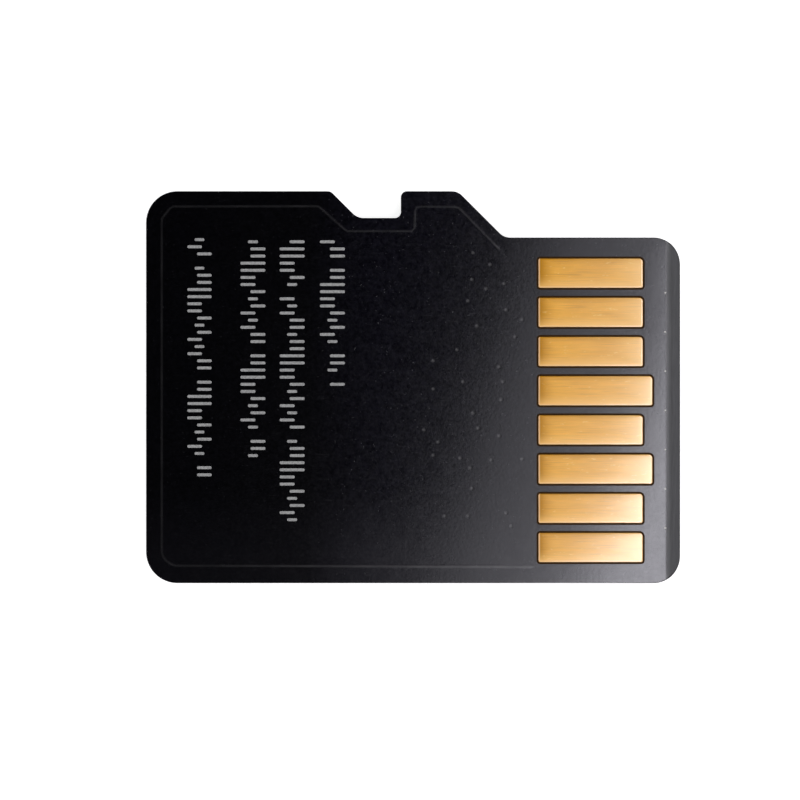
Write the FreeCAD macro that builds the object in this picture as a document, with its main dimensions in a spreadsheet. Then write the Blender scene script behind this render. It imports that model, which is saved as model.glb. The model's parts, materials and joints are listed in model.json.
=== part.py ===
import FreeCAD, Part
import os
import Sketcher

# Driving dimensions in millimetres, under the names that the sheet gives them
DIMENSIONS = {
    # Outline seen on the contact side: contact end at +X, latch notch at +Y
    "card_length": 15.0,
    "card_width": 11.0,
    "front_width": 9.7,
    "shoulder_foot_from_front": 4.95,
    "notch_wall_from_front": 7.85,
    "notch_floor_length": 1.22,
    "notch_depth": 0.75,
    "rear_corner_radius": 0.88,
    "front_corner_radius": 0.76,
    "shoulder_radius": 0.42,
    "notch_mouth_radius": 0.2,
    "notch_floor_radius": 0.44,
    "notch_wall_radius": 0.17,
    # Heights: the card is thick only at the thumb ridge
    "card_thickness": 1.0,
    "blade_thickness": 0.7,
    "substrate_thickness": 0.2,
    "label_face_edge_radius": 0.08,
    # Lead-in bevel along the contact end
    "bevel_run": 0.39,
    "bevel_drop": 0.15,
    "bevel_edge_radius": 0.6,
    # Thumb ridge on the label side, narrowest at the middle of the card
    "ridge_depth": 1.5,
    "ridge_arc_radius": 30.0,
    "ridge_crest_radius": 0.12,
    "ridge_foot_radius": 0.12,
    # Edge contacts and the openings that the solder mask leaves round them
    "contact_pitch": 1.1,
    "contact_width": 0.82,
    "contact_length": 2.925,
    "long_contact_extra": 0.27,
    "contact_rear_from_front": 3.985,
    "contact_thickness": 0.028,
    "contact_corner_radius": 0.08,
    "window_gap": 0.055,
    "window_depth": 0.032,
    # Memory dies, each on its own film and stepped back from the one before
    "memory_die_length": 7.4,
    "memory_die_width": 8.8,
    "memory_die_thickness": 0.06,
    "memory_step": 0.35,
    "memory_front_from_front": 5.4,
    "memory_centre_y": -0.45,
    "film_thickness": 0.015,
    # Controller die under the contacts
    "controller_length": 2.2,
    "controller_width": 3.2,
    "controller_thickness": 0.1,
    "controller_front_from_front": 1.4,
    # Ceramic chip capacitors, two on each side of the controller
    "capacitor_length": 0.6,
    "capacitor_width": 0.3,
    "capacitor_height": 0.3,
    "capacitor_terminal_length": 0.15,
    "capacitor_terminal_step": 0.012,
    "capacitor_pitch": 0.9,
    "capacitor_front_from_front": 2.2,
    "first_capacitor_from_axis": 2.6,
    # Bond wires: flat-topped loops in evenly spaced rows along the die edges
    "wire_width": 0.025,
    "wire_loop_height": 0.07,
    "wire_neck_inside_edge": 0.1,
    "wire_landing_past_edge": 0.16,
    "memory_wire_count": 12,
    "memory_wire_pitch": 0.68,
    "controller_wire_count": 8,
    "controller_wire_pitch": 0.38,
}

# Contacts in order from the notch side, with the two that touch first
CONTACT_NAMES = ("data_2", "data_3", "command", "supply", "clock", "ground", "data_0", "data_1")
LONG_CONTACTS = ("supply", "ground")
MEMORY_DIE_COUNT = 4

# Ways along X that a bond wire can leave its die
FORWARD = "1"
BACKWARD = "(-1)"

# Sketch points: the start, end and centre of an edge, and the sketch's own origin and axis
START, END, CENTRE = 1, 2, 3
ORIGIN = -1
X_AXIS = -1

# Places worked out from the driving dimensions
FRONT_X = "Dim.card_length / 2"
REAR_X = "-Dim.card_length / 2"
NOTCH_SIDE_Y = "Dim.card_width / 2"
PLAIN_SIDE_Y = "-Dim.card_width / 2"
SHOULDER_Y = "Dim.front_width - Dim.card_width / 2"
NOTCH_FLOOR_Y = "Dim.card_width / 2 - Dim.notch_depth"
CONTACT_AXIS_Y = "Dim.front_width / 2 - Dim.card_width / 2"
SHOULDER_FOOT_X = f"{FRONT_X} - Dim.shoulder_foot_from_front"
SHOULDER_TOP_X = f"{SHOULDER_FOOT_X} - Dim.card_width + Dim.front_width"
NOTCH_WALL_X = f"{FRONT_X} - Dim.notch_wall_from_front"
NOTCH_FLOOR_END_X = f"{NOTCH_WALL_X} - Dim.notch_floor_length"
NOTCH_MOUTH_X = f"{NOTCH_FLOOR_END_X} - Dim.notch_depth"
CONTACT_REAR_X = f"{FRONT_X} - Dim.contact_rear_from_front"
CONTROLLER_FRONT_X = f"{FRONT_X} - Dim.controller_front_from_front"
CONTROLLER_REAR_X = f"{CONTROLLER_FRONT_X} - Dim.controller_length"
BEVEL_TOP_X = f"{FRONT_X} - Dim.bevel_run"
RIDGE_ARC_X = f"{REAR_X} + Dim.ridge_depth + Dim.ridge_arc_radius"
CONTACT_FACE_Z = "Dim.card_thickness"
MOULDING_TOP_Z = "Dim.card_thickness - Dim.substrate_thickness"
LABEL_FACE_Z = "Dim.card_thickness - Dim.blade_thickness"
WINDOW_FLOOR_Z = "Dim.card_thickness - Dim.window_depth"
CONTROLLER_FACE_Z = f"{MOULDING_TOP_Z} - Dim.film_thickness - Dim.controller_thickness"

# Outline corners, counter-clockwise from the plain rear corner
REAR_PLAIN = (REAR_X, PLAIN_SIDE_Y)
FRONT_PLAIN = (FRONT_X, PLAIN_SIDE_Y)
FRONT_SHOULDER = (FRONT_X, SHOULDER_Y)
SHOULDER_FOOT = (SHOULDER_FOOT_X, SHOULDER_Y)
SHOULDER_TOP = (SHOULDER_TOP_X, NOTCH_SIDE_Y)
TAB_CORNER = (NOTCH_WALL_X, NOTCH_SIDE_Y)
NOTCH_CORNER = (NOTCH_WALL_X, NOTCH_FLOOR_Y)
NOTCH_FLOOR_END = (NOTCH_FLOOR_END_X, NOTCH_FLOOR_Y)
NOTCH_MOUTH = (NOTCH_MOUTH_X, NOTCH_SIDE_Y)
REAR_NOTCH_SIDE = (REAR_X, NOTCH_SIDE_Y)
OUTLINE = (
    REAR_PLAIN,
    FRONT_PLAIN,
    FRONT_SHOULDER,
    SHOULDER_FOOT,
    SHOULDER_TOP,
    TAB_CORNER,
    NOTCH_CORNER,
    NOTCH_FLOOR_END,
    NOTCH_MOUTH,
    REAR_NOTCH_SIDE,
)
CORNER_ROUNDS = {
    "rear_corner_radius": (REAR_PLAIN, REAR_NOTCH_SIDE),
    "front_corner_radius": (FRONT_PLAIN, FRONT_SHOULDER),
    "shoulder_radius": (SHOULDER_FOOT, SHOULDER_TOP),
    "notch_mouth_radius": (NOTCH_MOUTH,),
    "notch_floor_radius": (NOTCH_FLOOR_END,),
    "notch_wall_radius": (TAB_CORNER, NOTCH_CORNER),
}

# Features that must take material away
CUT_TYPES = ("PartDesign::Pocket", "PartDesign::SubtractiveBox")

# How far apart two lengths can be and still count as the same
TOLERANCE = 1e-5

DOC = FreeCAD.newDocument("memory_card")


def make_sheet():
    """The sheet of driving dimensions, one named cell each."""
    sheet = DOC.addObject("Spreadsheet::Sheet", "Dim")
    for row, (name, value) in enumerate(DIMENSIONS.items(), start=1):
        sheet.set(f"A{row}", name)
        sheet.set(f"B{row}", str(value))
        sheet.setAlias(f"B{row}", name)
    DOC.recompute()
    return sheet


SHEET = make_sheet()


def value_of(expression):
    """What an expression comes to with the sheet's present cells."""
    return float(SHEET.evalExpression(expression))


def near(a, b):
    return abs(a - b) < TOLERANCE


def is_upright(edge):
    box = edge.BoundBox
    return near(box.XLength, 0) and near(box.YLength, 0)


def is_level_at(edge, height):
    return near(edge.BoundBox.ZMin, height) and near(edge.BoundBox.ZMax, height)


def new_body(label):
    body = DOC.addObject("PartDesign::Body", label)
    body.Label = label
    return body


def origin_feature(body, role):
    """One of the body's own origin planes or axes."""
    return next(item for item in body.Origin.OriginFeatures if item.Role == role)


def new_sketch(body, name, plane_role, height="0"):
    """A sketch on one of the body's own origin planes, raised along the plane's normal."""
    sketch = body.newObject("Sketcher::SketchObject", name)
    sketch.AttachmentSupport = [(origin_feature(body, plane_role), "")]
    sketch.MapMode = "FlatFace"
    sketch.setExpression("AttachmentOffset.Base.z", height)
    return sketch


def hold(sketch, axis, edge, expression, point=START):
    """Ties a point of an edge to the sketch's origin, along one axis, by an expression."""
    distance = value_of(expression)
    if distance < 0:
        ends = (edge, point, ORIGIN, START)
        expression = f"-({expression})"
    else:
        ends = (ORIGIN, START, edge, point)
    index = sketch.addConstraint(Sketcher.Constraint(axis, *ends, abs(distance)))
    sketch.setExpression(f"Constraints[{index}]", expression)


def draw_polygon(sketch, corners):
    """Straight edges round corners that are pairs of expressions, with every corner fixed."""
    first = sketch.GeometryCount
    count = len(corners)
    points = [FreeCAD.Vector(value_of(x), value_of(y), 0) for x, y in corners]
    for i in range(count):
        sketch.addGeometry(Part.LineSegment(points[i], points[(i + 1) % count]), False)
    for i in range(count):
        edge = first + i
        edge_before = first + (i - 1) % count
        x, y = corners[i]
        x_before, y_before = corners[i - 1]
        sketch.addConstraint(Sketcher.Constraint("Coincident", edge_before, END, edge, START))
        if x == x_before:
            sketch.addConstraint(Sketcher.Constraint("Vertical", edge_before))
        else:
            hold(sketch, "DistanceX", edge, x)
        if y == y_before:
            sketch.addConstraint(Sketcher.Constraint("Horizontal", edge_before))
        else:
            hold(sketch, "DistanceY", edge, y)


def rectangle(x_low, x_high, y_low, y_high):
    return ((x_low, y_low), (x_high, y_low), (x_high, y_high), (x_low, y_high))


def extrude(body, kind, name, sketch, length, side="One side", reverse=False):
    """A Pad or Pocket of a sketch, as deep as an expression says."""
    feature = body.newObject(f"PartDesign::{kind}", name)
    feature.Profile = sketch
    feature.setExpression("Length", length)
    feature.SideType = side
    feature.Reversed = reverse
    DOC.recompute()
    return feature


def fillet(body, name, base, picks, radius):
    """Rounds the edges of a feature that a test picks out."""
    edges = [f"Edge{i}" for i, edge in enumerate(base.Shape.Edges, start=1) if picks(edge)]
    feature = body.newObject("PartDesign::Fillet", name)
    feature.Base = (base, edges)
    feature.setExpression("Radius", radius)
    DOC.recompute()
    return feature


def bind_box(box, sizes, corner):
    """Ties a box's three sizes and its lowest corner to expressions."""
    for side, expression in zip(("Length", "Width", "Height"), sizes):
        box.setExpression(side, expression)
    for axis, expression in zip("xyz", corner):
        box.setExpression(f"Placement.Base.{axis}", expression)


def card_blank(body, bottom, thickness):
    """A slab of the card's keyed outline with all its corners rounded."""
    sketch = new_sketch(body, "Outline", "XY_Plane", bottom)
    draw_polygon(sketch, OUTLINE)
    feature = extrude(body, "Pad", "Slab", sketch, thickness)
    for radius, corners in CORNER_ROUNDS.items():
        places = [(value_of(x), value_of(y)) for x, y in corners]

        def at_corner(edge):
            middle = edge.BoundBox.Center
            return is_upright(edge) and any(near(middle.x, x) and near(middle.y, y) for x, y in places)

        feature = fillet(body, f"Round_{radius}", feature, at_corner, f"Dim.{radius}")
    return feature


def contact_y(index):
    """Centre line of a contact, counted from the notch side."""
    middle = (len(CONTACT_NAMES) - 1) / 2
    return f"{CONTACT_AXIS_Y} + {middle - index} * Dim.contact_pitch"


def contact_length(name):
    if name in LONG_CONTACTS:
        return "Dim.contact_length + Dim.long_contact_extra"
    return "Dim.contact_length"


def cut_bevel(body):
    """The lead-in bevel along the contact end, blended into the contact face."""
    profile = new_sketch(body, "BevelProfile", "XZ_Plane")
    past_front = f"{FRONT_X} + Dim.bevel_run"
    below_front = f"{CONTACT_FACE_Z} - 2 * Dim.bevel_drop"
    wedge = ((BEVEL_TOP_X, CONTACT_FACE_Z), (past_front, below_front), (past_front, CONTACT_FACE_Z))
    draw_polygon(profile, wedge)
    bevel = extrude(body, "Pocket", "Bevel", profile, "2 * Dim.card_width", side="Symmetric")
    top = value_of(CONTACT_FACE_Z)
    start = value_of(BEVEL_TOP_X)

    def on_bevel_top(edge):
        return is_level_at(edge, top) and near(edge.BoundBox.XMin, start) and near(edge.BoundBox.XMax, start)

    fillet(body, "BevelEdge", bevel, on_bevel_top, "Dim.bevel_edge_radius")


def cut_windows(body):
    """One shallow opening with rounded corners for each contact."""
    profile = new_sketch(body, "WindowProfile", "XY_Plane", CONTACT_FACE_Z)
    reach = "(Dim.contact_width / 2 + Dim.window_gap)"
    for index, name in enumerate(CONTACT_NAMES):
        rear = f"{CONTACT_REAR_X} - Dim.window_gap"
        front = f"{CONTACT_REAR_X} + {contact_length(name)} + Dim.window_gap"
        middle = contact_y(index)
        draw_polygon(profile, rectangle(rear, front, f"{middle} - {reach}", f"{middle} + {reach}"))
    windows = extrude(body, "Pocket", "Windows", profile, "Dim.window_depth")
    depth = value_of("Dim.window_depth")

    def in_window(edge):
        return is_upright(edge) and near(edge.Length, depth)

    fillet(body, "WindowCorners", windows, in_window, "Dim.contact_corner_radius + Dim.window_gap")


def make_substrate():
    """Laminate that carries the contacts and closes the moulding."""
    body = new_body("substrate")
    card_blank(body, MOULDING_TOP_Z, "Dim.substrate_thickness")
    cut_bevel(body)
    cut_windows(body)
    return body


def make_contact(index, name):
    """One plated contact, seated on the floor of its opening."""
    body = new_body(f"contact_{index + 1}_{name}")
    sketch = new_sketch(body, "Face", "XY_Plane")
    reach = "Dim.contact_width / 2"
    draw_polygon(sketch, rectangle("0", contact_length(name), f"-{reach}", reach))
    plate = extrude(body, "Pad", "Plate", sketch, "Dim.contact_thickness")
    fillet(body, "Corners", plate, is_upright, "Dim.contact_corner_radius")
    body.setExpression("Placement.Base.x", CONTACT_REAR_X)
    body.setExpression("Placement.Base.y", contact_y(index))
    body.setExpression("Placement.Base.z", WINDOW_FLOOR_Z)
    return body


def die_blocks(label, plan, thickness, rear, centre_y, top):
    """A die and the adhesive film above it: name, sizes and lowest corner of each."""
    length, width = plan
    low_y = f"{centre_y} - {width} / 2"
    film_bottom = f"{top} - Dim.film_thickness"
    die_bottom = f"{film_bottom} - {thickness}"
    return [
        (label, (length, width, thickness), (rear, low_y, die_bottom)),
        (f"{label}_film", (length, width, "Dim.film_thickness"), (rear, low_y, film_bottom)),
    ]


def memory_front(number):
    """Front edge of a memory die, counted inwards from the substrate."""
    return f"{FRONT_X} - Dim.memory_front_from_front - {number - 1} * Dim.memory_step"


def memory_top(number):
    """Height of the face that a memory die's film is stuck to."""
    return f"{MOULDING_TOP_Z} - {number - 1} * (Dim.memory_die_thickness + Dim.film_thickness)"


def memory_blocks(number):
    return die_blocks(
        f"memory_die_{number}",
        ("Dim.memory_die_length", "Dim.memory_die_width"),
        "Dim.memory_die_thickness",
        f"{memory_front(number)} - Dim.memory_die_length",
        "Dim.memory_centre_y",
        memory_top(number),
    )


def controller_blocks():
    return die_blocks(
        "controller_die",
        ("Dim.controller_length", "Dim.controller_width"),
        "Dim.controller_thickness",
        CONTROLLER_REAR_X,
        CONTACT_AXIS_Y,
        MOULDING_TOP_Z,
    )


def all_die_blocks():
    blocks = controller_blocks()
    for number in range(1, MEMORY_DIE_COUNT + 1):
        blocks += memory_blocks(number)
    return blocks


def make_die_part(label, sizes, corner):
    box = DOC.addObject("Part::Box", label)
    box.Label = label
    bind_box(box, sizes, corner)
    return box


def capacitor_blocks(side, order):
    """Ceramic block and two end terminals of one capacitor, hung from the substrate."""
    centre_y = f"{CONTACT_AXIS_Y} + {side} * (Dim.first_capacitor_from_axis + {order} * Dim.capacitor_pitch)"
    rear = f"{FRONT_X} - Dim.capacitor_front_from_front - Dim.capacitor_length"
    low_y = f"{centre_y} - Dim.capacitor_width / 2"
    low_z = f"{MOULDING_TOP_Z} - Dim.capacitor_height"
    step = "Dim.capacitor_terminal_step"
    terminal = ("Dim.capacitor_terminal_length", "Dim.capacitor_width", "Dim.capacitor_height")
    ceramic = (
        "Dim.capacitor_length - 2 * Dim.capacitor_terminal_length",
        f"Dim.capacitor_width - 2 * {step}",
        f"Dim.capacitor_height - 2 * {step}",
    )
    ceramic_rear = f"{rear} + Dim.capacitor_terminal_length"
    front_terminal_rear = f"{rear} + Dim.capacitor_length - Dim.capacitor_terminal_length"
    return [
        (ceramic, (ceramic_rear, f"{low_y} + {step}", f"{low_z} + {step}")),
        (terminal, (rear, low_y, low_z)),
        (terminal, (front_terminal_rear, low_y, low_z)),
    ]


def all_capacitors():
    """Blocks of each capacitor, from the notch side to the plain side."""
    return [capacitor_blocks(side, order) for side, order in ((1, 1), (1, 0), (-1, 0), (-1, 1))]


def make_capacitor(number, blocks):
    body = new_body(f"capacitor_{number}")
    for sizes, corner in blocks:
        bind_box(body.newObject("PartDesign::AdditiveBox", "Block"), sizes, corner)
    return body


def wire_rows():
    """Each row of bond wires: label, die edge, way off the die, heights of both ends, and spread."""
    memory_spread = ("Dim.memory_wire_count", "Dim.memory_wire_pitch", "Dim.memory_centre_y")
    controller_spread = ("Dim.controller_wire_count", "Dim.controller_wire_pitch", CONTACT_AXIS_Y)
    controller_heights = (CONTROLLER_FACE_Z, MOULDING_TOP_Z)
    rows = []
    for number in range(1, MEMORY_DIE_COUNT + 1):
        heights = (memory_top(number + 1), memory_top(number))
        rows.append((f"memory_bond_wires_{number}", memory_front(number), FORWARD, heights, memory_spread))
    for label, edge_x, way in (("front", CONTROLLER_FRONT_X, FORWARD), ("rear", CONTROLLER_REAR_X, BACKWARD)):
        rows.append((f"controller_bond_wires_{label}", edge_x, way, controller_heights, controller_spread))
    return rows


def wire_loop(edge_x, way, heights):
    """Side view of one loop: neck on the die, flat run past its edge, leg up to the landing."""
    die_face, landing = heights
    half = f"{way} * Dim.wire_width / 2"
    neck = f"{edge_x} - {way} * Dim.wire_neck_inside_edge"
    leg = f"{edge_x} + {way} * Dim.wire_landing_past_edge"
    run_low = f"{die_face} - Dim.wire_loop_height"
    run_high = f"{run_low} + Dim.wire_width"
    return (
        (f"{neck} - {half}", die_face),
        (f"{neck} - {half}", run_low),
        (f"{leg} + {half}", run_low),
        (f"{leg} + {half}", landing),
        (f"{leg} - {half}", landing),
        (f"{leg} - {half}", run_high),
        (f"{neck} + {half}", run_high),
        (f"{neck} + {half}", die_face),
    )


def repeat_loop(body, kind, row):
    """A row of loops in a body: pads are the wires, pockets the channels that the wires lie in."""
    label, edge_x, way, heights, (count, pitch, centre_y) = row
    spread = f"({count} - 1) * {pitch}"
    sketch = new_sketch(body, f"{label}_profile", "XZ_Plane", f"{spread} / 2 - ({centre_y})")
    draw_polygon(sketch, wire_loop(edge_x, way, heights))
    loop = extrude(body, kind, f"{label}_loop", sketch, "Dim.wire_width", side="Symmetric")
    pattern = body.newObject("PartDesign::LinearPattern", f"{label}_row")
    pattern.Originals = [loop]
    pattern.Direction = (origin_feature(body, "Y_Axis"), [""])
    pattern.setExpression("Length", spread)
    pattern.setExpression("Occurrences", count)
    body.Tip = pattern
    DOC.recompute()


def make_wires(row):
    body = new_body(row[0])
    repeat_loop(body, "Pad", row)
    return body


def draw_label_recess(sketch):
    """Everything in front of the thumb ridge: a large arc closed by three straight edges."""
    radius = value_of("Dim.ridge_arc_radius")
    centre = FreeCAD.Vector(value_of(RIDGE_ARC_X), 0, 0)
    side = "Dim.card_width"
    front = "Dim.card_length"
    half = FreeCAD.Vector(0, value_of(side), 0)
    reach = FreeCAD.Vector((radius**2 - value_of(side) ** 2) ** 0.5, 0, 0)
    upper_end = centre - reach + half
    lower_end = centre - reach - half
    lower_front = FreeCAD.Vector(value_of(front), -value_of(side), 0)
    upper_front = FreeCAD.Vector(value_of(front), value_of(side), 0)
    middle = centre - FreeCAD.Vector(radius, 0, 0)
    arc = sketch.addGeometry(Part.Arc(upper_end, middle, lower_end), False)
    lower = sketch.addGeometry(Part.LineSegment(lower_end, lower_front), False)
    end = sketch.addGeometry(Part.LineSegment(lower_front, upper_front), False)
    upper = sketch.addGeometry(Part.LineSegment(upper_front, upper_end), False)
    for before, after in ((arc, lower), (lower, end), (end, upper), (upper, arc)):
        sketch.addConstraint(Sketcher.Constraint("Coincident", before, END, after, START))
    sketch.addConstraint(Sketcher.Constraint("Horizontal", lower))
    sketch.addConstraint(Sketcher.Constraint("Vertical", end))
    sketch.addConstraint(Sketcher.Constraint("Horizontal", upper))
    hold(sketch, "DistanceX", end, front)
    hold(sketch, "DistanceY", end, f"-{side}")
    hold(sketch, "DistanceY", upper, side)
    sketch.addConstraint(Sketcher.Constraint("PointOnObject", arc, CENTRE, X_AXIS))
    hold(sketch, "DistanceX", arc, RIDGE_ARC_X, CENTRE)
    index = sketch.addConstraint(Sketcher.Constraint("Radius", arc, radius))
    sketch.setExpression(f"Constraints[{index}]", "Dim.ridge_arc_radius")


def shape_thumb_ridge(body):
    """Cuts the label side down in front of the ridge and rounds the edges of both levels."""
    recess = new_sketch(body, "LabelRecess", "XY_Plane")
    draw_label_recess(recess)
    cut = extrude(body, "Pocket", "Recess", recess, LABEL_FACE_Z, reverse=True)
    label_face = value_of(LABEL_FACE_Z)
    radius = value_of("Dim.ridge_arc_radius")

    foot_end = radius - value_of("Dim.ridge_foot_radius")

    def has_radius(edge, size):
        return hasattr(edge.Curve, "Radius") and near(edge.Curve.Radius, size)

    def at_foot(edge):
        return is_level_at(edge, label_face) and has_radius(edge, radius)

    def on_label_outline(edge):
        return is_level_at(edge, label_face) and not has_radius(edge, foot_end)

    def on_crest(edge):
        return is_level_at(edge, 0)

    foot = fillet(body, "RidgeFoot", cut, at_foot, "Dim.ridge_foot_radius")
    outline = fillet(body, "LabelEdge", foot, on_label_outline, "Dim.label_face_edge_radius")
    fillet(body, "RidgeCrest", outline, on_crest, "Dim.ridge_crest_radius")


def make_moulded_body():
    """Epoxy moulding, cast round everything that hangs from the substrate."""
    body = new_body("moulded_body")
    card_blank(body, "0", MOULDING_TOP_Z)
    shape_thumb_ridge(body)
    for label, sizes, corner in all_die_blocks():
        bind_box(body.newObject("PartDesign::SubtractiveBox", f"Seat_{label}"), sizes, corner)
    for blocks in all_capacitors():
        for sizes, corner in blocks:
            bind_box(body.newObject("PartDesign::SubtractiveBox", "Seat_capacitor"), sizes, corner)
    for row in wire_rows():
        repeat_loop(body, "Pocket", row)
    return body


def make_parts():
    parts = [make_moulded_body(), make_substrate()]
    for index, name in enumerate(CONTACT_NAMES):
        parts.append(make_contact(index, name))
    for label, sizes, corner in all_die_blocks():
        parts.append(make_die_part(label, sizes, corner))
    for number, blocks in enumerate(all_capacitors(), start=1):
        parts.append(make_capacitor(number, blocks))
    for row in wire_rows():
        parts.append(make_wires(row))
    DOC.recompute()
    return parts


def check(parts):
    """Stops unless every feature was made, every cut took material and every part is sound."""
    problems = []
    for item in DOC.Objects:
        if {"Invalid", "Error"} & set(item.State):
            problems.append(f"{item.Label} failed")
        elif item.TypeId in CUT_TYPES and not item.Shape.Volume < item.BaseFeature.Shape.Volume:
            problems.append(f"{item.Label} cuts nothing")
    for part in parts:
        if part.Shape.isNull() or not part.Shape.isValid():
            problems.append(f"{part.Label} has no sound shape")
    if problems:
        raise RuntimeError(", ".join(problems))


def write(parts):
    os.makedirs("parts", exist_ok=True)
    for part in parts:
        part.Shape.exportStep(f"parts/{part.Label}.step")


PARTS = make_parts()
check(PARTS)
write(PARTS)
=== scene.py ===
import json
import math

import bmesh
import bpy
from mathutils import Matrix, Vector
from mathutils.geometry import delaunay_2d_cdt


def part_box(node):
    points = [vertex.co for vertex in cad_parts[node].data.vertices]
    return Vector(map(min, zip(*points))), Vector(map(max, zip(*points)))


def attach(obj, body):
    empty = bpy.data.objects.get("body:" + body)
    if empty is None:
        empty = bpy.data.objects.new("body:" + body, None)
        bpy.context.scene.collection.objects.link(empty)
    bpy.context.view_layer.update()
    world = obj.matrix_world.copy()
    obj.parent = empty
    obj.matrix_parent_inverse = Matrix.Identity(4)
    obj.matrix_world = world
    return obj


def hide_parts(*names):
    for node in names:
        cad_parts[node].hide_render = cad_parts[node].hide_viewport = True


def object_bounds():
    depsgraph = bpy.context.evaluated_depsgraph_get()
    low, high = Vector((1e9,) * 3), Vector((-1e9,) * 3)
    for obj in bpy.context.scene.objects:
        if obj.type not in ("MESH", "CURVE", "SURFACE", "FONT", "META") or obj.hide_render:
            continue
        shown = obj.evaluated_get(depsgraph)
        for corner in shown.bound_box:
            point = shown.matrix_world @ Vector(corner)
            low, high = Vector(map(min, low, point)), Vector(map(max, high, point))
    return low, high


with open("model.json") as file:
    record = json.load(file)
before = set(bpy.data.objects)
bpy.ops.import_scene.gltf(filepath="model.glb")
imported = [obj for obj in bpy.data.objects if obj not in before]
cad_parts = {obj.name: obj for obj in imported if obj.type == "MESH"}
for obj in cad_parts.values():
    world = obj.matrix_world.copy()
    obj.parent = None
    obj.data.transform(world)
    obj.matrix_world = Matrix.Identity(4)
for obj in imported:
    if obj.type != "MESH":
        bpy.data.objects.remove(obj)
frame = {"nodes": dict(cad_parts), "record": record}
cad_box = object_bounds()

# Sizes below are in millimetres, and become metres where a mesh is made
MM = 0.001

# Card outline, as the CAD model has it: contact end at +X, latch notch at +Y
REAR_X = cad_box[0].x / MM
FRONT_X = cad_box[1].x / MM
PLAIN_Y = cad_box[0].y / MM
NOTCH_Y = cad_box[1].y / MM
FRONT_WIDTH = 9.7
SHOULDER_Y = PLAIN_Y + FRONT_WIDTH
SHOULDER_FOOT_FROM_FRONT = 4.95
NOTCH_WALL_FROM_FRONT = 7.85
NOTCH_FLOOR_LENGTH = 1.22
NOTCH_DEPTH = 0.75
REAR_RADIUS = 0.88
FRONT_RADIUS = 0.76
SHOULDER_RADIUS = 0.42
NOTCH_MOUTH_RADIUS = 0.2
NOTCH_FLOOR_RADIUS = 0.44
NOTCH_WALL_RADIUS = 0.17

# Substrate: the mask sits a trace's height below the CAD face, so that the raised trace reaches the face
SUBSTRATE_LOW, SUBSTRATE_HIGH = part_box("substrate")
TRACE_HEIGHT = 0.0011
FACE_Z = SUBSTRATE_HIGH.z / MM - TRACE_HEIGHT
SEAM_Z = SUBSTRATE_LOW.z / MM
SEAM_WIDTH = 0.008
FACE_EDGE_RADIUS = 0.012
FACE_EDGE_STEPS = 6

# Flat strip inside each rounded edge, which keeps the shading of the face even
SUPPORT = 0.02

# Ground bevel along the front: a soft fold, then an even slope; rows of points are at shares of the fold
BEVEL_RUN = 0.43
BEVEL_FOLD = 0.28
BEVEL_DROP = 0.15
BEVEL_SLOPE = BEVEL_DROP / (BEVEL_RUN - BEVEL_FOLD * 2 / 3)
BEVEL_START_X = FRONT_X - BEVEL_RUN
BEVEL_ROWS = (0.0, 0.15, 0.3, 0.45, 0.6, 0.8, 1.0, 1.15)
BEVEL_ROW_MARGIN = 0.07
BEVEL_ROW_STEPS = 40

# Bands on the bevel, from its start: scuffs, a painted highlight on the fold, wear, and painted shade
# towards the front edge
BEVEL_SCUFFED_TO = 0.04
BEVEL_FOLD_HIGHLIGHT_TO = 0.1
BEVEL_WORN_TO = 0.17
BEVEL_SHADED_FROM = 0.15

# Raised guard trace under the mask: corners of its path, from the plain side round to the shoulder
TRACE_WIDTH = 0.085
TRACE_FADE = 0.1
TRACE_CORNER_RADIUS = 0.1
TRACE_STEP = 0.12
TRACE_ACROSS = (-0.85, -0.5, -0.25, 0.0, 0.25, 0.5, 0.85)
TRACE_PATH = (
    (3.44, -5.04),
    (-6.72, -5.01),
    (-6.94, -4.88),
    (-7.06, -4.69),
    (-7.06, 4.73),
    (-6.79, 5.07),
    (-2.66, 5.08),
    (-1.88, 4.38),
    (0.03, 4.38),
    (0.05, 5.07),
    (1.25, 5.06),
    (2.45, 3.82),
)

# The trace's height wavers along it, and the mask on it is paler: thin over the trace, with a painted sheen
# that grows towards the front
TRACE_WAVER = 0.2
TRACE_WAVER_SLOW = 2.3
TRACE_WAVER_FAST = 5.9
TRACE_WAVER_SHIFT = 1.0
TRACE_PALING = 0.2
TRACE_PLAIN_PALING = 1.3
TRACE_NOTCH_PALING = 0.35
TRACE_PLAIN_Y = -4.9
TRACE_PALING_START_X = -5.5

# Small dimples where the mask sinks into the plated holes; a ring is a share of the radius and its points
DIMPLE_RADIUS = 0.065
DIMPLE_DEPTH = 0.001
DIMPLE_PALING = 0.9
DIMPLE_RINGS = ((0, 1), (0.3, 6), (0.6, 10), (1.0, 12), (1.4, 12))
DIMPLES = (
    (1.54, 2.42), (1.79, 1.72), (1.23, 1.05), (2.61, 2.17), (3.06, 1.89), (2.86, 1.41), (2.41, 0.57),
    (1.40, 0.15), (2.52, 0.15), (2.47, -0.36), (1.68, -0.73), (0.56, -0.05), (0.56, 0.74), (1.82, -1.15),
    (2.41, -1.37), (0.70, -1.54), (0.56, -1.91), (1.32, -1.99), (2.19, -2.05), (1.60, -2.27), (1.65, -2.84),
    (0.30, -1.20), (3.06, -2.02), (2.61, -3.54), (2.75, -3.90), (0.89, -3.62), (1.54, -3.62), (1.68, 3.77),
    (2.16, 3.44), (1.65, 3.02), (2.55, 2.90), (2.05, 2.76),
)

# Contacts and the openings round them
CONTACT_NODES = sorted(name for name in frame["nodes"] if name.startswith("contact_"))
WINDOW_GAP = 0.055
WINDOW_DEPTH = 0.032
CONTACT_CORNER = 0.05
CONTACT_KEYED_CORNER = 0.1
CONTACT_EDGE_WIDTH = 0.014
CONTACT_EDGE_DROP = 0.008
CONTACT_EDGE_STEPS = 5
CONTACT_ROLL = 0.25
CONTACT_ROLL_DROP = 0.0006
CONTACT_LONG_STEPS = 44
CONTACT_CROSS_STEPS = 12
GUIDE_MARGIN = CONTACT_EDGE_WIDTH + SUPPORT * 0.9
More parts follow.
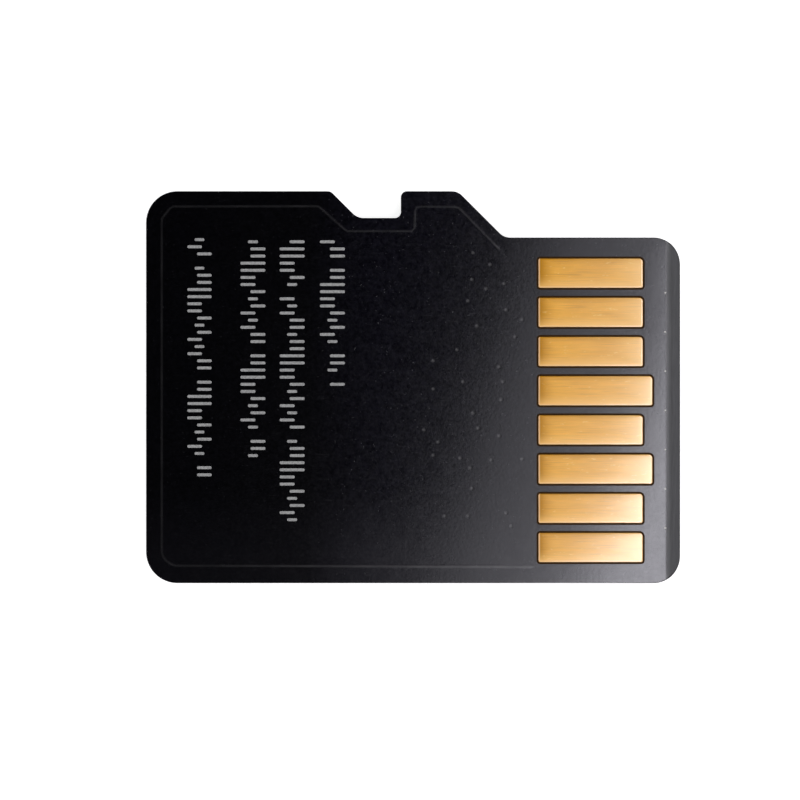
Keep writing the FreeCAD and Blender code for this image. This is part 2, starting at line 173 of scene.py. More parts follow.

# Painted shade and painted highlights on the gold: how wide each band is from its edge, and its share where
# it isn't at full strength
SHADE_REAR_WIDTH = 0.55
SHADE_NOTCH_WIDTH = 0.25
SHADE_NOTCH_SHARE = 0.5
HIGHLIGHT_PLAIN_WIDTH = 0.4
HIGHLIGHT_PLAIN_SHARE = 0.8
HIGHLIGHT_FRONT_WIDTH = 1.2
HIGHLIGHT_FRONT_SHARE = 0.7
RIM_HIGHLIGHT_WIDTH = 0.028
RIM_HIGHLIGHT_FADE = 0.02
RIM_HIGHLIGHT_PLAIN_SHARE = 0.6
RIM_HIGHLIGHT_FRONT_SHARE = 0.5

# The film on the gold is thinner at the rear: its share at two places along the card, and where the shade
# is painted
FILM_X = (3.5, 6.0)
FILM_SHARES = (0.6, 1.0)
FILM_SHADE_SHARES = (1.0, 0.3)

# The mask has more dust and a lighter mottle towards the front, and a painted sheen by the plain side
TOWARDS_FRONT_X = (-3.0, -1.0)
TOWARDS_FRONT_SHARES = (0.2, 1.0)
PAINTED_SHEEN_Y = (-2.8, -4.7)
PAINTED_SHEEN_X = (-0.5, 1.2)
PAINTED_SHEEN_SHARES = (1.0, 0.6)

# Cut ends of the plating lines, midway between the contacts; rings are shares of the radius
STUB_HEIGHT = 0.002
STUB_RADIUS = 0.035
STUB_SUNK = 0.001
STUB_X = BEVEL_START_X
STUB_RINGS = (1.0, 0.75, 0.45, 0.15)
STUB_POINTS = 12

# Plain bars in four columns where the real card is marked: rear edge, front edge, first and last y
BAR_COLUMNS = (
    (-6.34, -5.66, 4.14, -2.81),
    (-4.85, -4.15, 4.08, -2.41),
    (-3.75, -3.05, 4.08, -4.10),
    (-2.62, -1.92, 4.08, -0.28),
)
BAR_WIDTH = 0.08
BAR_PITCH = 0.2
BAR_HEIGHT = 0.0011
BAR_END_RADIUS = BAR_WIDTH / 2 * 0.9
BARS_IN_GROUP = 3

# The bars' lengths and the gaps between groups come from a number that runs on from bar to bar
BAR_FIRST_NUMBER = 5
BAR_FACTOR = 7
BAR_ADDED = 3
BAR_MODULUS = 31
BAR_GAP_MODULUS = 3

# Photograph: its middle on the card, and its width, both at the height of the contact face
PHOTO_CENTRE = (-0.373, -0.360)
PHOTO_WIDTH = 22.45
LENS = 150.0
SENSOR = 36.0
CLIP_START = 1.0

# Pale floor just under the card, and a white tent that ends overhead, between two heights of a unit sphere
FLOOR_GAP = 0.005
FLOOR_SIZE = 2000.0
FLOOR_COLOUR = (0.85, 0.85, 0.85, 1.0)
FLOOR_GLOW = 0.7
TENT_LEVEL = 1.17
TENT_OPENING = (0.71, 0.82)
WHITE = (1.0, 1.0, 1.0, 1.0)

# Two lamps beside the camera: place, size and brightness; a factor turns brightness by area into energy
STRIP_PLACE = (17.19, -6.47, 107.2)
STRIP_SIZE = (45.0, 7.76)
STRIP_RADIANCE = 6.9
PANEL_PLACE = (20.04, -6.12, 108.2)
PANEL_SIZE = (76.0, 31.8)
PANEL_RADIANCE = 1.2
LAMP_AREA_FACTOR = 4

# Ranges of noise that most materials use
NOISE_WIDE = (0.3, 0.7)
NOISE_NARROW = (0.35, 0.65)

# Gloss of the solder mask and of the bevel cut through it
MASK_IOR = 1.5
MASK_SHEEN = (0.935, 0.92, 1.0, 1.0)

# Sockets of a colour mix, by number because their names repeat
MIX_FACTOR = 0
MIX_FIRST = 6
MIX_SECOND = 7
MIX_RESULT = 2

# Mesh making: fineness of arcs, sharp edges, digits of a place that is looked up, and filling of caps
ARC_STEP = math.radians(4)
FEWEST_ARC_STEPS = 2
QUARTER = math.pi / 2
SHARP_ANGLE = math.radians(50)
SPOT_DIGITS = 4
TRIANGLES_INSIDE = 1
MERGE_DISTANCE = 1e-7


def outline_corners():
    """Card outline corners with their radii, counter-clockwise from the plain rear corner."""
    foot_x = FRONT_X - SHOULDER_FOOT_FROM_FRONT
    top_x = foot_x - (NOTCH_Y - SHOULDER_Y)
    wall_x = FRONT_X - NOTCH_WALL_FROM_FRONT
    floor_x = wall_x - NOTCH_FLOOR_LENGTH
    floor_y = NOTCH_Y - NOTCH_DEPTH
    return [
        (REAR_X, PLAIN_Y, REAR_RADIUS),
        (FRONT_X, PLAIN_Y, FRONT_RADIUS),
        (FRONT_X, SHOULDER_Y, FRONT_RADIUS),
        (foot_x, SHOULDER_Y, SHOULDER_RADIUS),
        (top_x, NOTCH_Y, SHOULDER_RADIUS),
        (wall_x, NOTCH_Y, NOTCH_WALL_RADIUS),
        (wall_x, floor_y, NOTCH_WALL_RADIUS),
        (floor_x, floor_y, NOTCH_FLOOR_RADIUS),
        (floor_x - NOTCH_DEPTH, NOTCH_Y, NOTCH_MOUTH_RADIUS),
        (REAR_X, NOTCH_Y, REAR_RADIUS),
    ]


def corner_arc(before, corner, after, radius):
    """Points of the arc that rounds one corner of a path."""
    way_in = (corner - before).normalized()
    way_out = (after - corner).normalized()
    turn = math.atan2(way_in.x * way_out.y - way_in.y * way_out.x, way_in.dot(way_out))
    start = corner - way_in * radius * math.tan(abs(turn) / 2)
    side = math.copysign(1, turn)
    centre = start + Vector((-way_in.y, way_in.x)) * side * radius
    arm = start - centre
    steps = max(FEWEST_ARC_STEPS, round(abs(turn) / ARC_STEP))
    points = []
    for i in range(steps + 1):
        cos, sin = math.cos(turn * i / steps), math.sin(turn * i / steps)
        points.append(centre + Vector((arm.x * cos - arm.y * sin, arm.x * sin + arm.y * cos)))
    return points


def rounded_loop(corners):
    """Closed outline through corners given as x, y and radius."""
    places = [Vector((x, y)) for x, y, _ in corners]
    points = []
    for i, (_, _, radius) in enumerate(corners):
        after = places[(i + 1) % len(places)]
        points += corner_arc(places[i - 1], places[i], after, radius)
    return points


def rounded_path(corners, radius):
    """Open path through corners, each rounded by the same radius."""
    places = [Vector(corner) for corner in corners]
    points = [places[0]]
    for before, corner, after in zip(places, places[1:], places[2:]):
        points += corner_arc(before, corner, after, radius)
    return points + [places[-1]]


def inset(loop, distance):
    """The same loop moved inwards by a distance."""
    moved = []
    for i, point in enumerate(loop):
        way_in = (point - loop[i - 1]).normalized()
        way_out = (loop[(i + 1) % len(loop)] - point).normalized()
        inward = Vector((-way_in.y - way_out.y, way_in.x + way_out.x))
        moved.append(point + inward * (distance / (1 + way_in.dot(way_out))))
    return moved


def inside(point, loop):
    """Whether a point lies inside a closed loop."""
    found = False
    for i, a in enumerate(loop):
        b = loop[i - 1]
        if (a.y > point.y) != (b.y > point.y):
            if point.x < (b.x - a.x) * (point.y - a.y) / (b.y - a.y) + a.x:
                found = not found
    return found


def add_ring(bm, loop, height):
    """A ring of vertices at a height that is a function of x and y."""
    return [bm.verts.new((p.x * MM, p.y * MM, height(p.x, p.y) * MM)) for p in loop]


def join_rings(bm, first, second, material=0):
    """Faces between two rings of equal length."""
    for i in range(len(first)):
        j = (i + 1) % len(first)
        face = bm.faces.new((first[i], first[j], second[j], second[i]))
        face.material_index = material


def round_edge(bm, ring, outline, width, drop, steps, height, wall=0, top=0):
    """Carries a wall's ring up to a face and over its rounded edge; gives the last loop and its ring."""
    for i in range(steps + 1):
        angle = QUARTER * i / steps
        loop = inset(outline, width * (1 - math.cos(angle)))
        sunk = drop * (1 - math.sin(angle))
        above = add_ring(bm, loop, lambda x, y: height(x, y) - sunk)
        join_rings(bm, ring, above, top if i else wall)
        ring = above
    return loop, ring


def fill_cap(bm, outer, holes, guides, height, material_at):
    """Triangles between an outer ring and hole rings; a ring is its loop and its vertices."""
    points = []
    verts = []
    edges = []
    for loop, ring in [outer] + holes:
        first = len(points)
        points += loop
        verts += ring
        edges += [(first + i, first + (i + 1) % len(loop)) for i in range(len(loop))]
    points += guides
    verts += add_ring(bm, guides, height)
    filled = delaunay_2d_cdt(points, edges, [], TRIANGLES_INSIDE, MERGE_DISTANCE)
    flat, _, triangles, origins, _, _ = filled
    for triangle in triangles:
        middle = sum((flat[i] for i in triangle), Vector((0, 0))) / 3
        if not any(inside(middle, loop) for loop, _ in holes):
            face = bm.faces.new([verts[origins[i][0]] for i in triangle])
            face.material_index = material_at(middle)


def finish_mesh(name, bm, materials):
    """Turns a bmesh into an object that rides on the card."""
    bmesh.ops.delete(bm, geom=[v for v in bm.verts if not v.link_faces], context="VERTS")
    bmesh.ops.recalc_face_normals(bm, faces=bm.faces)
    mesh = bpy.data.meshes.new(name)
    bm.to_mesh(mesh)
    bm.free()
    for material in materials:
        mesh.materials.append(material)
    mesh.shade_smooth()
    mesh.set_sharp_from_angle(angle=SHARP_ANGLE)
    piece = bpy.data.objects.new(name, mesh)
    bpy.context.scene.collection.objects.link(piece)
    weighted = piece.modifiers.new("even_shading", "WEIGHTED_NORMAL")
    weighted.keep_sharp = True
    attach(piece, "root")
    return piece


def store_share(piece, name, wear):
    """Gives each vertex a share of a colour mark, which is a function of its x and y."""
    shares = piece.data.attributes.new(name, "FLOAT", "POINT").data
    for i, vertex in enumerate(piece.data.vertices):
        shares[i].value = wear(vertex.co.x / MM, vertex.co.y / MM)


# Materials


class Nodes:
    """The node tree of a material or world, with short calls to add nodes and wire them."""

    def __init__(self, owner, output):
        self.owner = owner
        owner.use_nodes = True
        self.tree = owner.node_tree
        self.tree.nodes.clear()
        self.output = self.tree.nodes.new(output)

    def put(self, socket, value):
        """Links a socket to another one, or sets it to a plain value."""
        if hasattr(value, "is_output"):
            self.tree.links.new(value, socket)
        else:
            socket.default_value = value

    def add(self, kind, inputs, **settings):
        """A new node with its settings and inputs."""
        node = self.tree.nodes.new(kind)
        for key, value in settings.items():
            setattr(node, key, value)
        for key, value in inputs.items():
            self.put(node.inputs[key], value)
        return node

    def place(self, stretch=(1, 1, 1)):
        """Object coordinates in millimetres, stretched along the axes."""
        source = self.add("ShaderNodeTexCoord", {}).outputs["Object"]
        scale = [s / MM for s in stretch]
        return self.add("ShaderNodeMapping", {"Vector": source, "Scale": scale}).outputs["Vector"]

    def axes(self, vector):
        """The X, Y and Z of a vector, by name."""
        return self.add("ShaderNodeSeparateXYZ", {"Vector": vector}).outputs

    def noise(self, size, stretch=(1, 1, 1), detail=3.0, roughness=0.55):
        """Noise from 0 to 1 whose features are about one size across, in millimetres."""
        inputs = {"Vector": self.place(stretch), "Scale": 1 / size}
        inputs |= {"Detail": detail, "Roughness": roughness}
        return self.add("ShaderNodeTexNoise", inputs).outputs["Fac"]

    def spread(self, value, source, target=(0.0, 1.0), **settings):
        """Maps one range of values to another, held at its ends."""
        inputs = {"Value": value, "From Min": source[0], "From Max": source[1]}
        inputs |= {"To Min": target[0], "To Max": target[1]}
        return self.add("ShaderNodeMapRange", inputs, **settings).outputs["Result"]

    def attribute(self, name):
        """A share of a colour mark that the mesh holds."""
        return self.add("ShaderNodeAttribute", {}, attribute_name=name).outputs["Fac"]

    def combine(self, operation, a, b):
        """Two values joined by one operation."""
        return self.add("ShaderNodeMath", {0: a, 1: b}, operation=operation).outputs["Value"]

    def blend(self, factor, a, b):
        """Mixes two colours, each given as three numbers or as a socket."""
        first, second = ((*c, 1) if isinstance(c, tuple) else c for c in (a, b))
        inputs = {MIX_FACTOR: factor, MIX_FIRST: first, MIX_SECOND: second}
        return self.add("ShaderNodeMix", inputs, data_type="RGBA").outputs[MIX_RESULT]

    def bump(self, height, depth, **more):
        """A normal for relief of a depth in millimetres."""
        inputs = {"Height": height, "Distance": depth * MM}
        return self.add("ShaderNodeBump", inputs | more).outputs["Normal"]

    def surface(self, shader):
        """Wires a shader to the output and gives the material or world."""
        self.tree.links.new(shader, self.output.inputs["Surface"])
        return self.owner

    def principled(self, **inputs):
        """Finishes a material with one principled shader."""
        named = {key.replace("_", " "): value for key, value in inputs.items()}
        return self.surface(self.add("ShaderNodeBsdfPrincipled", named).outputs["BSDF"])


def material_nodes(name):
    """Nodes of a new material."""
    return Nodes(bpy.data.materials.new(name), "ShaderNodeOutputMaterial")


def solder_mask_material():
    """Black solder mask: glossy, with a fine grain, faint rub marks, dust, a painted sheen by the plain
    side, and a paler tint where the mask is thin over the trace and dimples, partly painted sheen.
    """
    deep = (0.0006, 0.0005, 0.0022)
    bloom = (0.0056, 0.0053, 0.0094)
    clean = (0.0008, 0.0008, 0.0009)
    # painted sheen: lighter mask along the plain side
    painted_sheen_colour = (0.0113, 0.0107, 0.0142)
    dusty = (0.045, 0.045, 0.048)
    # paler mask: thin over the trace and dimples, and painted sheen on the trace
    thin_mask_and_sheen_tint = (0.060, 0.059, 0.062)
    n = material_nodes("solder_mask")
    grain = n.noise(0.09, detail=3.0, roughness=0.6)
    blotch = n.noise(0.3, detail=3.0)
    mottle = n.noise(0.12, detail=4.0, roughness=0.65)
    rubs = n.noise(0.05, stretch=(0.07, 1.0, 1.0), detail=2.0)
    specks = n.noise(0.06, detail=1.0)
    place = n.axes(n.place())
    towards_front = n.spread(place["X"], TOWARDS_FRONT_X, TOWARDS_FRONT_SHARES)
    # painted sheen by the plain side, fading towards the rear and somewhat towards the front
    painted_sheen = n.combine("MULTIPLY", towards_front, n.spread(place["Y"], PAINTED_SHEEN_Y))
    painted_sheen = n.combine("MULTIPLY", painted_sheen, n.spread(place["X"], PAINTED_SHEEN_X, PAINTED_SHEEN_SHARES))
    dust = n.combine("MULTIPLY", towards_front, n.spread(specks, (0.73, 0.79)))
    tint = n.blend(n.spread(mottle, (0.40, 0.70)), deep, bloom)
    tint = n.blend(towards_front, clean, tint)
    tint = n.blend(painted_sheen, tint, painted_sheen_colour)
    tint = n.blend(dust, tint, dusty)
    # paler on the trace and dimples: thin mask, and on the trace a painted sheen
    tint = n.blend(n.attribute("thin_mask_and_sheen"), tint, thin_mask_and_sheen_tint)
    rough = n.spread(grain, NOISE_WIDE, (0.090, 0.126))
    rough = n.combine("ADD", rough, n.spread(rubs, (0.64, 0.74), (0.0, 0.04)))
    rough = n.combine("ADD", rough, n.spread(blotch, NOISE_WIDE, (0.0, 0.018)))
    normal = n.bump(grain, 0.0006)
    normal = n.bump(rubs, 0.0002, Normal=normal)
    return n.principled(
        Base_Color=tint, Roughness=rough, IOR=MASK_IOR, Normal=normal, Specular_Tint=MASK_SHEEN,
    )


def bevel_material():
    """Ground bevel: mask cut away to matt grey laminate, with streaks along the edge, a painted highlight
    on the fold and painted shade towards the front edge.
    """
    mask = (0.001, 0.001, 0.0011)
    scuffed = (0.012, 0.012, 0.0127)
    # painted highlight: a pale band where the fold would catch the light
    painted_fold_highlight = (0.125, 0.125, 0.13)
    worn = (0.075, 0.075, 0.079)
    # painted shade towards the front edge
    shaded = (0.044, 0.044, 0.048)
    streaked = (0.03, 0.03, 0.032)
    n = material_nodes("ground_bevel")
    streaks = n.noise(0.05, stretch=(1.0, 0.08, 1.0), detail=3.0)
    speckle = n.noise(0.03, detail=3.0)
    x = n.axes(n.place())["X"]
    start = BEVEL_START_X
    wear = n.spread(x, (start, start + BEVEL_WORN_TO))
    streak = n.combine("MULTIPLY", wear, n.spread(streaks, NOISE_WIDE, (0.6, 0.0)))
    tint = n.blend(n.spread(x, (start, start + BEVEL_SCUFFED_TO)), mask, scuffed)
    # painted highlight on the fold
    tint = n.blend(n.spread(x, (start + BEVEL_SCUFFED_TO, start + BEVEL_FOLD_HIGHLIGHT_TO)), tint, painted_fold_highlight)
    tint = n.blend(wear, tint, worn)
    # painted shade: darker from BEVEL_SHADED_FROM to the front edge
    tint = n.blend(n.spread(x, (start + BEVEL_SHADED_FROM, FRONT_X)), tint, shaded)
    tint = n.blend(streak, tint, streaked)
    rough = n.spread(wear, (0.0, 1.0), (0.13, 0.5))
    grit = n.combine("MULTIPLY", wear, n.spread(speckle, NOISE_WIDE, (0.0, 0.15)))
    rough = n.combine("ADD", rough, grit)
    normal = n.bump(n.combine("MULTIPLY", wear, streaks), 0.001)
    normal = n.bump(n.combine("MULTIPLY", wear, speckle), 0.001, Normal=normal)
    return n.principled(
        Base_Color=tint, Roughness=rough, IOR=MASK_IOR, Normal=normal, Specular_Tint=MASK_SHEEN,
    )


def laminate_edge_material():
    """Sawn edge of the laminate: dark resin with thin layers of glass cloth."""
    resin = (0.006, 0.006, 0.007)
    glass = (0.020, 0.019, 0.017)
    n = material_nodes("laminate_edge")
    layers = n.noise(0.03, stretch=(0.08, 0.08, 1.0), detail=3.0)
    fibres = n.noise(0.04, detail=4.0)
    tint = n.blend(n.spread(layers, NOISE_NARROW), resin, glass)
    rough = n.spread(fibres, NOISE_WIDE, (0.45, 0.65))
    return n.principled(Base_Color=tint, Roughness=rough, Normal=n.bump(fibres, 0.003))


def window_floor_material():
    """Bare laminate in the gap round each contact."""
    dark = (0.035, 0.016, 0.003)
    light = (0.065, 0.029, 0.005)
    n = material_nodes("window_floor")
    speckle = n.noise(0.03, detail=3.0)
    tint = n.blend(n.spread(speckle, NOISE_WIDE), dark, light)
    rough = n.spread(speckle, NOISE_WIDE, (0.6, 0.8))
    return n.principled(Base_Color=tint, Roughness=rough, Specular_IOR_Level=0.1)


def gold_material():
    """Gold plating under a thin clear film, finely brushed along the card; shade is painted in near its
    rear end and by the notch, where the film is thinner, and highlights are painted by the plain side, the
    front and along the rims.
    """
    dark = (0.855, 0.42, 0.020)
    light = (0.94, 0.475, 0.027)
    brushed = (0.60, 0.28, 0.014)
    scratched = (0.52, 0.23, 0.012)
    nicked = (1.0, 0.68, 0.18)
    # painted shade: darker gold at the rear end and by the notch
    painted_shade = (0.44, 0.185, 0.004)
    # painted highlight: paler gold by the plain side and the front
    painted_highlight = (1.0, 0.61, 0.19)
    # painted highlight along the rims of each contact
    rim = (0.96, 0.63, 0.34)
    n = material_nodes("gold_plating")
    brushing = n.noise(0.035, stretch=(0.05, 1.0, 1.0), detail=4.0, roughness=0.65)
    patches = n.noise(0.5, stretch=(0.4, 1.0, 1.0), detail=2.0)
    scratches = n.noise(0.03, stretch=(0.03, 1.0, 1.0), detail=1.0)
    nicks = n.noise(0.06, stretch=(0.3, 1.0, 1.0), detail=2.0)
    # share of the painted shade, which also thins the film
    painted_shade_share = n.attribute("painted_shade")
    tint = n.blend(n.spread(patches, NOISE_NARROW), dark, light)
    tint = n.blend(n.spread(brushing, (0.32, 0.68), (0.5, 0.0)), tint, brushed)
    tint = n.blend(n.spread(scratches, (0.60, 0.70), (0.0, 0.45)), tint, scratched)
    tint = n.blend(n.spread(nicks, (0.66, 0.74), (0.0, 0.6)), tint, nicked)
    tint = n.blend(painted_shade_share, tint, painted_shade)
    tint = n.blend(n.attribute("painted_highlight"), tint, painted_highlight)
    # painted highlight along the rims
    tint = n.blend(n.attribute("rim"), tint, rim)
    rough = n.spread(brushing, NOISE_WIDE, (0.50, 0.58))
    film_left = n.spread(painted_shade_share, (0.0, 1.0), FILM_SHADE_SHARES)
    film_left = n.combine("MULTIPLY", film_left, n.spread(n.axes(n.place())["X"], FILM_X, FILM_SHARES))
    normal = n.bump(brushing, 0.0006)
    film = n.bump(brushing, 0.0002)
    film = n.bump(scratches, 0.0003, Normal=film)
    return n.principled(
        Base_Color=tint, Metallic=1.0, Roughness=rough, Normal=normal,
        Coat_Weight=film_left, Coat_IOR=1.73, Coat_Roughness=0.105, Coat_Normal=film,
    )


def moulding_material():
    """Epoxy moulding compound: matt black with the fine texture of the mould."""
    dark = (0.009, 0.009, 0.0095)
    light = (0.014, 0.014, 0.0145)
    n = material_nodes("moulding_compound")
    texture = n.noise(0.06, detail=4.0, roughness=0.7)
    cloud = n.noise(0.8, detail=2.0)
    tint = n.blend(n.spread(cloud, NOISE_NARROW), dark, light)
    rough = n.spread(texture, NOISE_WIDE, (0.46, 0.62))
    return n.principled(Base_Color=tint, Roughness=rough, Normal=n.bump(texture, 0.005))


def bar_material():
    """Laser mark: pale grey, slightly broken where the beam stepped."""
    broken = (0.17, 0.17, 0.174)
    pale = (0.37, 0.37, 0.377)
    n = material_nodes("laser_mark")
    stepping = n.noise(0.035, detail=3.0, roughness=0.7)
    tint = n.blend(n.spread(stepping, (0.32, 0.6)), broken, pale)
    rough = n.spread(stepping, NOISE_WIDE, (0.6, 0.8))
    return n.principled(Base_Color=tint, Roughness=rough, Normal=n.bump(stepping, 0.002))


def stub_material():
    """Cut ends of the plating lines, bright where the grinding passed through them."""
    smeared = (0.48, 0.46, 0.45)
    bright = (0.72, 0.70, 0.69)
    n = material_nodes("plating_stub")
    smear = n.noise(0.03, stretch=(1.0, 0.3, 1.0), detail=2.0)
    tint = n.blend(n.spread(smear, NOISE_WIDE), smeared, bright)
    rough = n.spread(smear, NOISE_WIDE, (0.45, 0.65))
    return n.principled(Base_Color=tint, Metallic=1.0, Roughness=rough)


def inner_material(name, dark, light, metallic, roughness, size):
    """Plain varied finish for a piece that the moulding hides."""
    n = material_nodes(name)
    cloud = n.noise(size, detail=3.0)
    tint = n.blend(n.spread(cloud, NOISE_NARROW), dark, light)
    rough = n.spread(cloud, NOISE_WIDE, (roughness * 0.8, roughness * 1.2))
    return n.principled(Base_Color=tint, Metallic=metallic, Roughness=rough, Normal=n.bump(cloud, 0.001))


# Contact face with its openings, bevel, trace and dimples


def bevel_drop(x):
    """How far the contact face has dropped at x: flat, a soft fold, then the bevel's slope."""
    past = max(0.0, x - BEVEL_START_X)
    if past < BEVEL_FOLD:
        return BEVEL_SLOPE * past**3 / (3 * BEVEL_FOLD**2)
    return BEVEL_SLOPE * (past - BEVEL_FOLD * 2 / 3)


def plain_face(x, y):
    """Height of the contact face without its small relief."""
    return FACE_Z - bevel_drop(x)


def spot(x, y):
    """A place on the face, rounded so that it can be looked up."""
    return (round(x, SPOT_DIGITS), round(y, SPOT_DIGITS))


def bevel_guides():
    """Rows of points that let the face fold softly into the bevel."""
    guides = []
    for share in BEVEL_ROWS:
        x = BEVEL_START_X + BEVEL_FOLD * share
        corner = FRONT_RADIUS - math.sqrt(FRONT_RADIUS**2 - (x - FRONT_X + FRONT_RADIUS) ** 2)
        margin = corner + BEVEL_ROW_MARGIN
        low, high = PLAIN_Y + margin, SHOULDER_Y - margin
        for i in range(BEVEL_ROW_STEPS + 1):
            guides.append(Vector((x, low + (high - low) * i / BEVEL_ROW_STEPS)))
    return guides


def trace_guides():
    """Rows of points along the guard trace, with the height of the trace at each."""
    path = rounded_path(TRACE_PATH, TRACE_CORNER_RADIUS)
    lengths = [(b - a).length for a, b in zip(path, path[1:])]
    total = sum(lengths)
    steps = round(total / TRACE_STEP)
    relief = {}
    for i in range(-1, steps + 2):
        along = total * i / steps
        ahead = along
        k = 0
        while k < len(lengths) - 1 and ahead > lengths[k]:
            ahead -= lengths[k]
            k += 1
        way = (path[k + 1] - path[k]).normalized()
        point = path[k] + way * ahead
        side = Vector((-way.y, way.x))
        end = max(0.0, min(1.0, along / TRACE_FADE, (total - along) / TRACE_FADE))
        wave = math.sin(along * TRACE_WAVER_SLOW) * math.sin(along * TRACE_WAVER_FAST + TRACE_WAVER_SHIFT)
        waver = 1 - TRACE_WAVER + TRACE_WAVER * wave
        for across in TRACE_ACROSS:
            rise = max(0.0, 1 - 4 * across**2) * TRACE_HEIGHT * end * waver
            place = point + side * across * TRACE_WIDTH
            relief[spot(place.x, place.y)] = rise
    return relief


def dimple_guides():
    """Rings of points in each dimple, with the depth at each as a negative height."""
    relief = {}
    for x, y in DIMPLES:
        for share, count in DIMPLE_RINGS:
            for i in range(count):
                angle = 2 * math.pi * (i + share) / count
                reach = share * DIMPLE_RADIUS
                depth = DIMPLE_DEPTH * max(0.0, 1 - share**2) ** 2
                relief[spot(x + reach * math.cos(angle), y + reach * math.sin(angle))] = -depth
    return relief


def trace_thin_mask_and_sheen(x, y):
    """How pale the mask is on the trace, where it is thin and where a painted sheen lies: more towards the
    front, most on the plain side.
    """
    growth = TRACE_PLAIN_PALING if y < TRACE_PLAIN_Y else TRACE_NOTCH_PALING
    forward = (x - TRACE_PALING_START_X) / (FRONT_X - TRACE_PALING_START_X)
    return TRACE_PALING + growth * max(0.0, forward)


def contact_loop(node, grow):
    """Outline of a contact, or of the opening round it, with one rounder corner at the front."""
    low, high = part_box(node)
    rear, front = low.x / MM - grow, high.x / MM + grow
    plain, notch = low.y / MM - grow, high.y / MM + grow
    return rounded_loop([
        (rear, plain, CONTACT_CORNER + grow),
        (front, plain, CONTACT_CORNER + grow),
        (front, notch, CONTACT_KEYED_CORNER + grow),
        (rear, notch, CONTACT_CORNER + grow),
    ])


def build_contact_face(materials):
    """Laminate with solder mask, bevelled front and one opening for each contact."""
    mask, edge_cut, window, ground = range(len(materials))
    bm = bmesh.new()
    outline = rounded_loop(outline_corners())
    base_loop = inset(outline, SEAM_WIDTH)
    base = add_ring(bm, base_loop, lambda x, y: SEAM_Z)
    seam = add_ring(bm, outline, lambda x, y: SEAM_Z + SEAM_WIDTH)
    join_rings(bm, base, seam, edge_cut)
    radius = FACE_EDGE_RADIUS
    _, ring = round_edge(bm, seam, outline, radius, radius, FACE_EDGE_STEPS, plain_face, edge_cut, mask)
    loop = inset(outline, radius + SUPPORT)
    flat = add_ring(bm, loop, plain_face)
    join_rings(bm, ring, flat, mask)

    holes = []
    for node in CONTACT_NODES:
        wall = contact_loop(node, WINDOW_GAP)
        rim = add_ring(bm, wall, plain_face)
        holes.append((wall, rim))
        floor = add_ring(bm, wall, lambda x, y: FACE_Z - WINDOW_DEPTH)
        join_rings(bm, rim, floor, window)
        bm.faces.new(floor).material_index = window

    relief = trace_guides() | dimple_guides()
    guides = bevel_guides() + [Vector(place) for place in relief]
    fill_cap(
        bm, (loop, flat), holes, guides,
        lambda x, y: plain_face(x, y) + relief.get(spot(x, y), 0.0),
        lambda point: ground if point.x > BEVEL_START_X else mask,
    )
    fill_cap(bm, (base_loop, base), [], [], plain_face, lambda point: edge_cut)
    piece = finish_mesh("contact_face", bm, materials)

    # paleness of thin mask, and on the trace a painted sheen
    def thin_mask_and_sheen(x, y):
        rise = relief.get(spot(x, y), 0.0)
        return max(trace_thin_mask_and_sheen(x, y) * rise / TRACE_HEIGHT, -DIMPLE_PALING * rise / DIMPLE_DEPTH)

    store_share(piece, "thin_mask_and_sheen", thin_mask_and_sheen)
    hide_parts("substrate")


# Gold contacts, gently pillowed


def roll(distance, width):
    """How far a point has rolled off towards an edge: 0 inside, 1 at the edge."""
    return max(0.0, 1 - distance / width) ** 2


def rim_highlight_share(distance):
    """1 on the painted highlight along an edge, 0 past it."""
    return min(1.0, max(0.0, 1 - (distance - RIM_HIGHLIGHT_WIDTH) / RIM_HIGHLIGHT_FADE))


def stations(low, high, count):
    """Places across a contact, closer together near both edges."""
    near = (CONTACT_EDGE_WIDTH + SUPPORT, RIM_HIGHLIGHT_WIDTH, RIM_HIGHLIGHT_WIDTH + RIM_HIGHLIGHT_FADE)
    first, last = low + near[-1], high - near[-1]
    even = [first + (last - first) * i / count for i in range(1, count)]
    return [low + distance for distance in near] + even + [high - distance for distance in near]


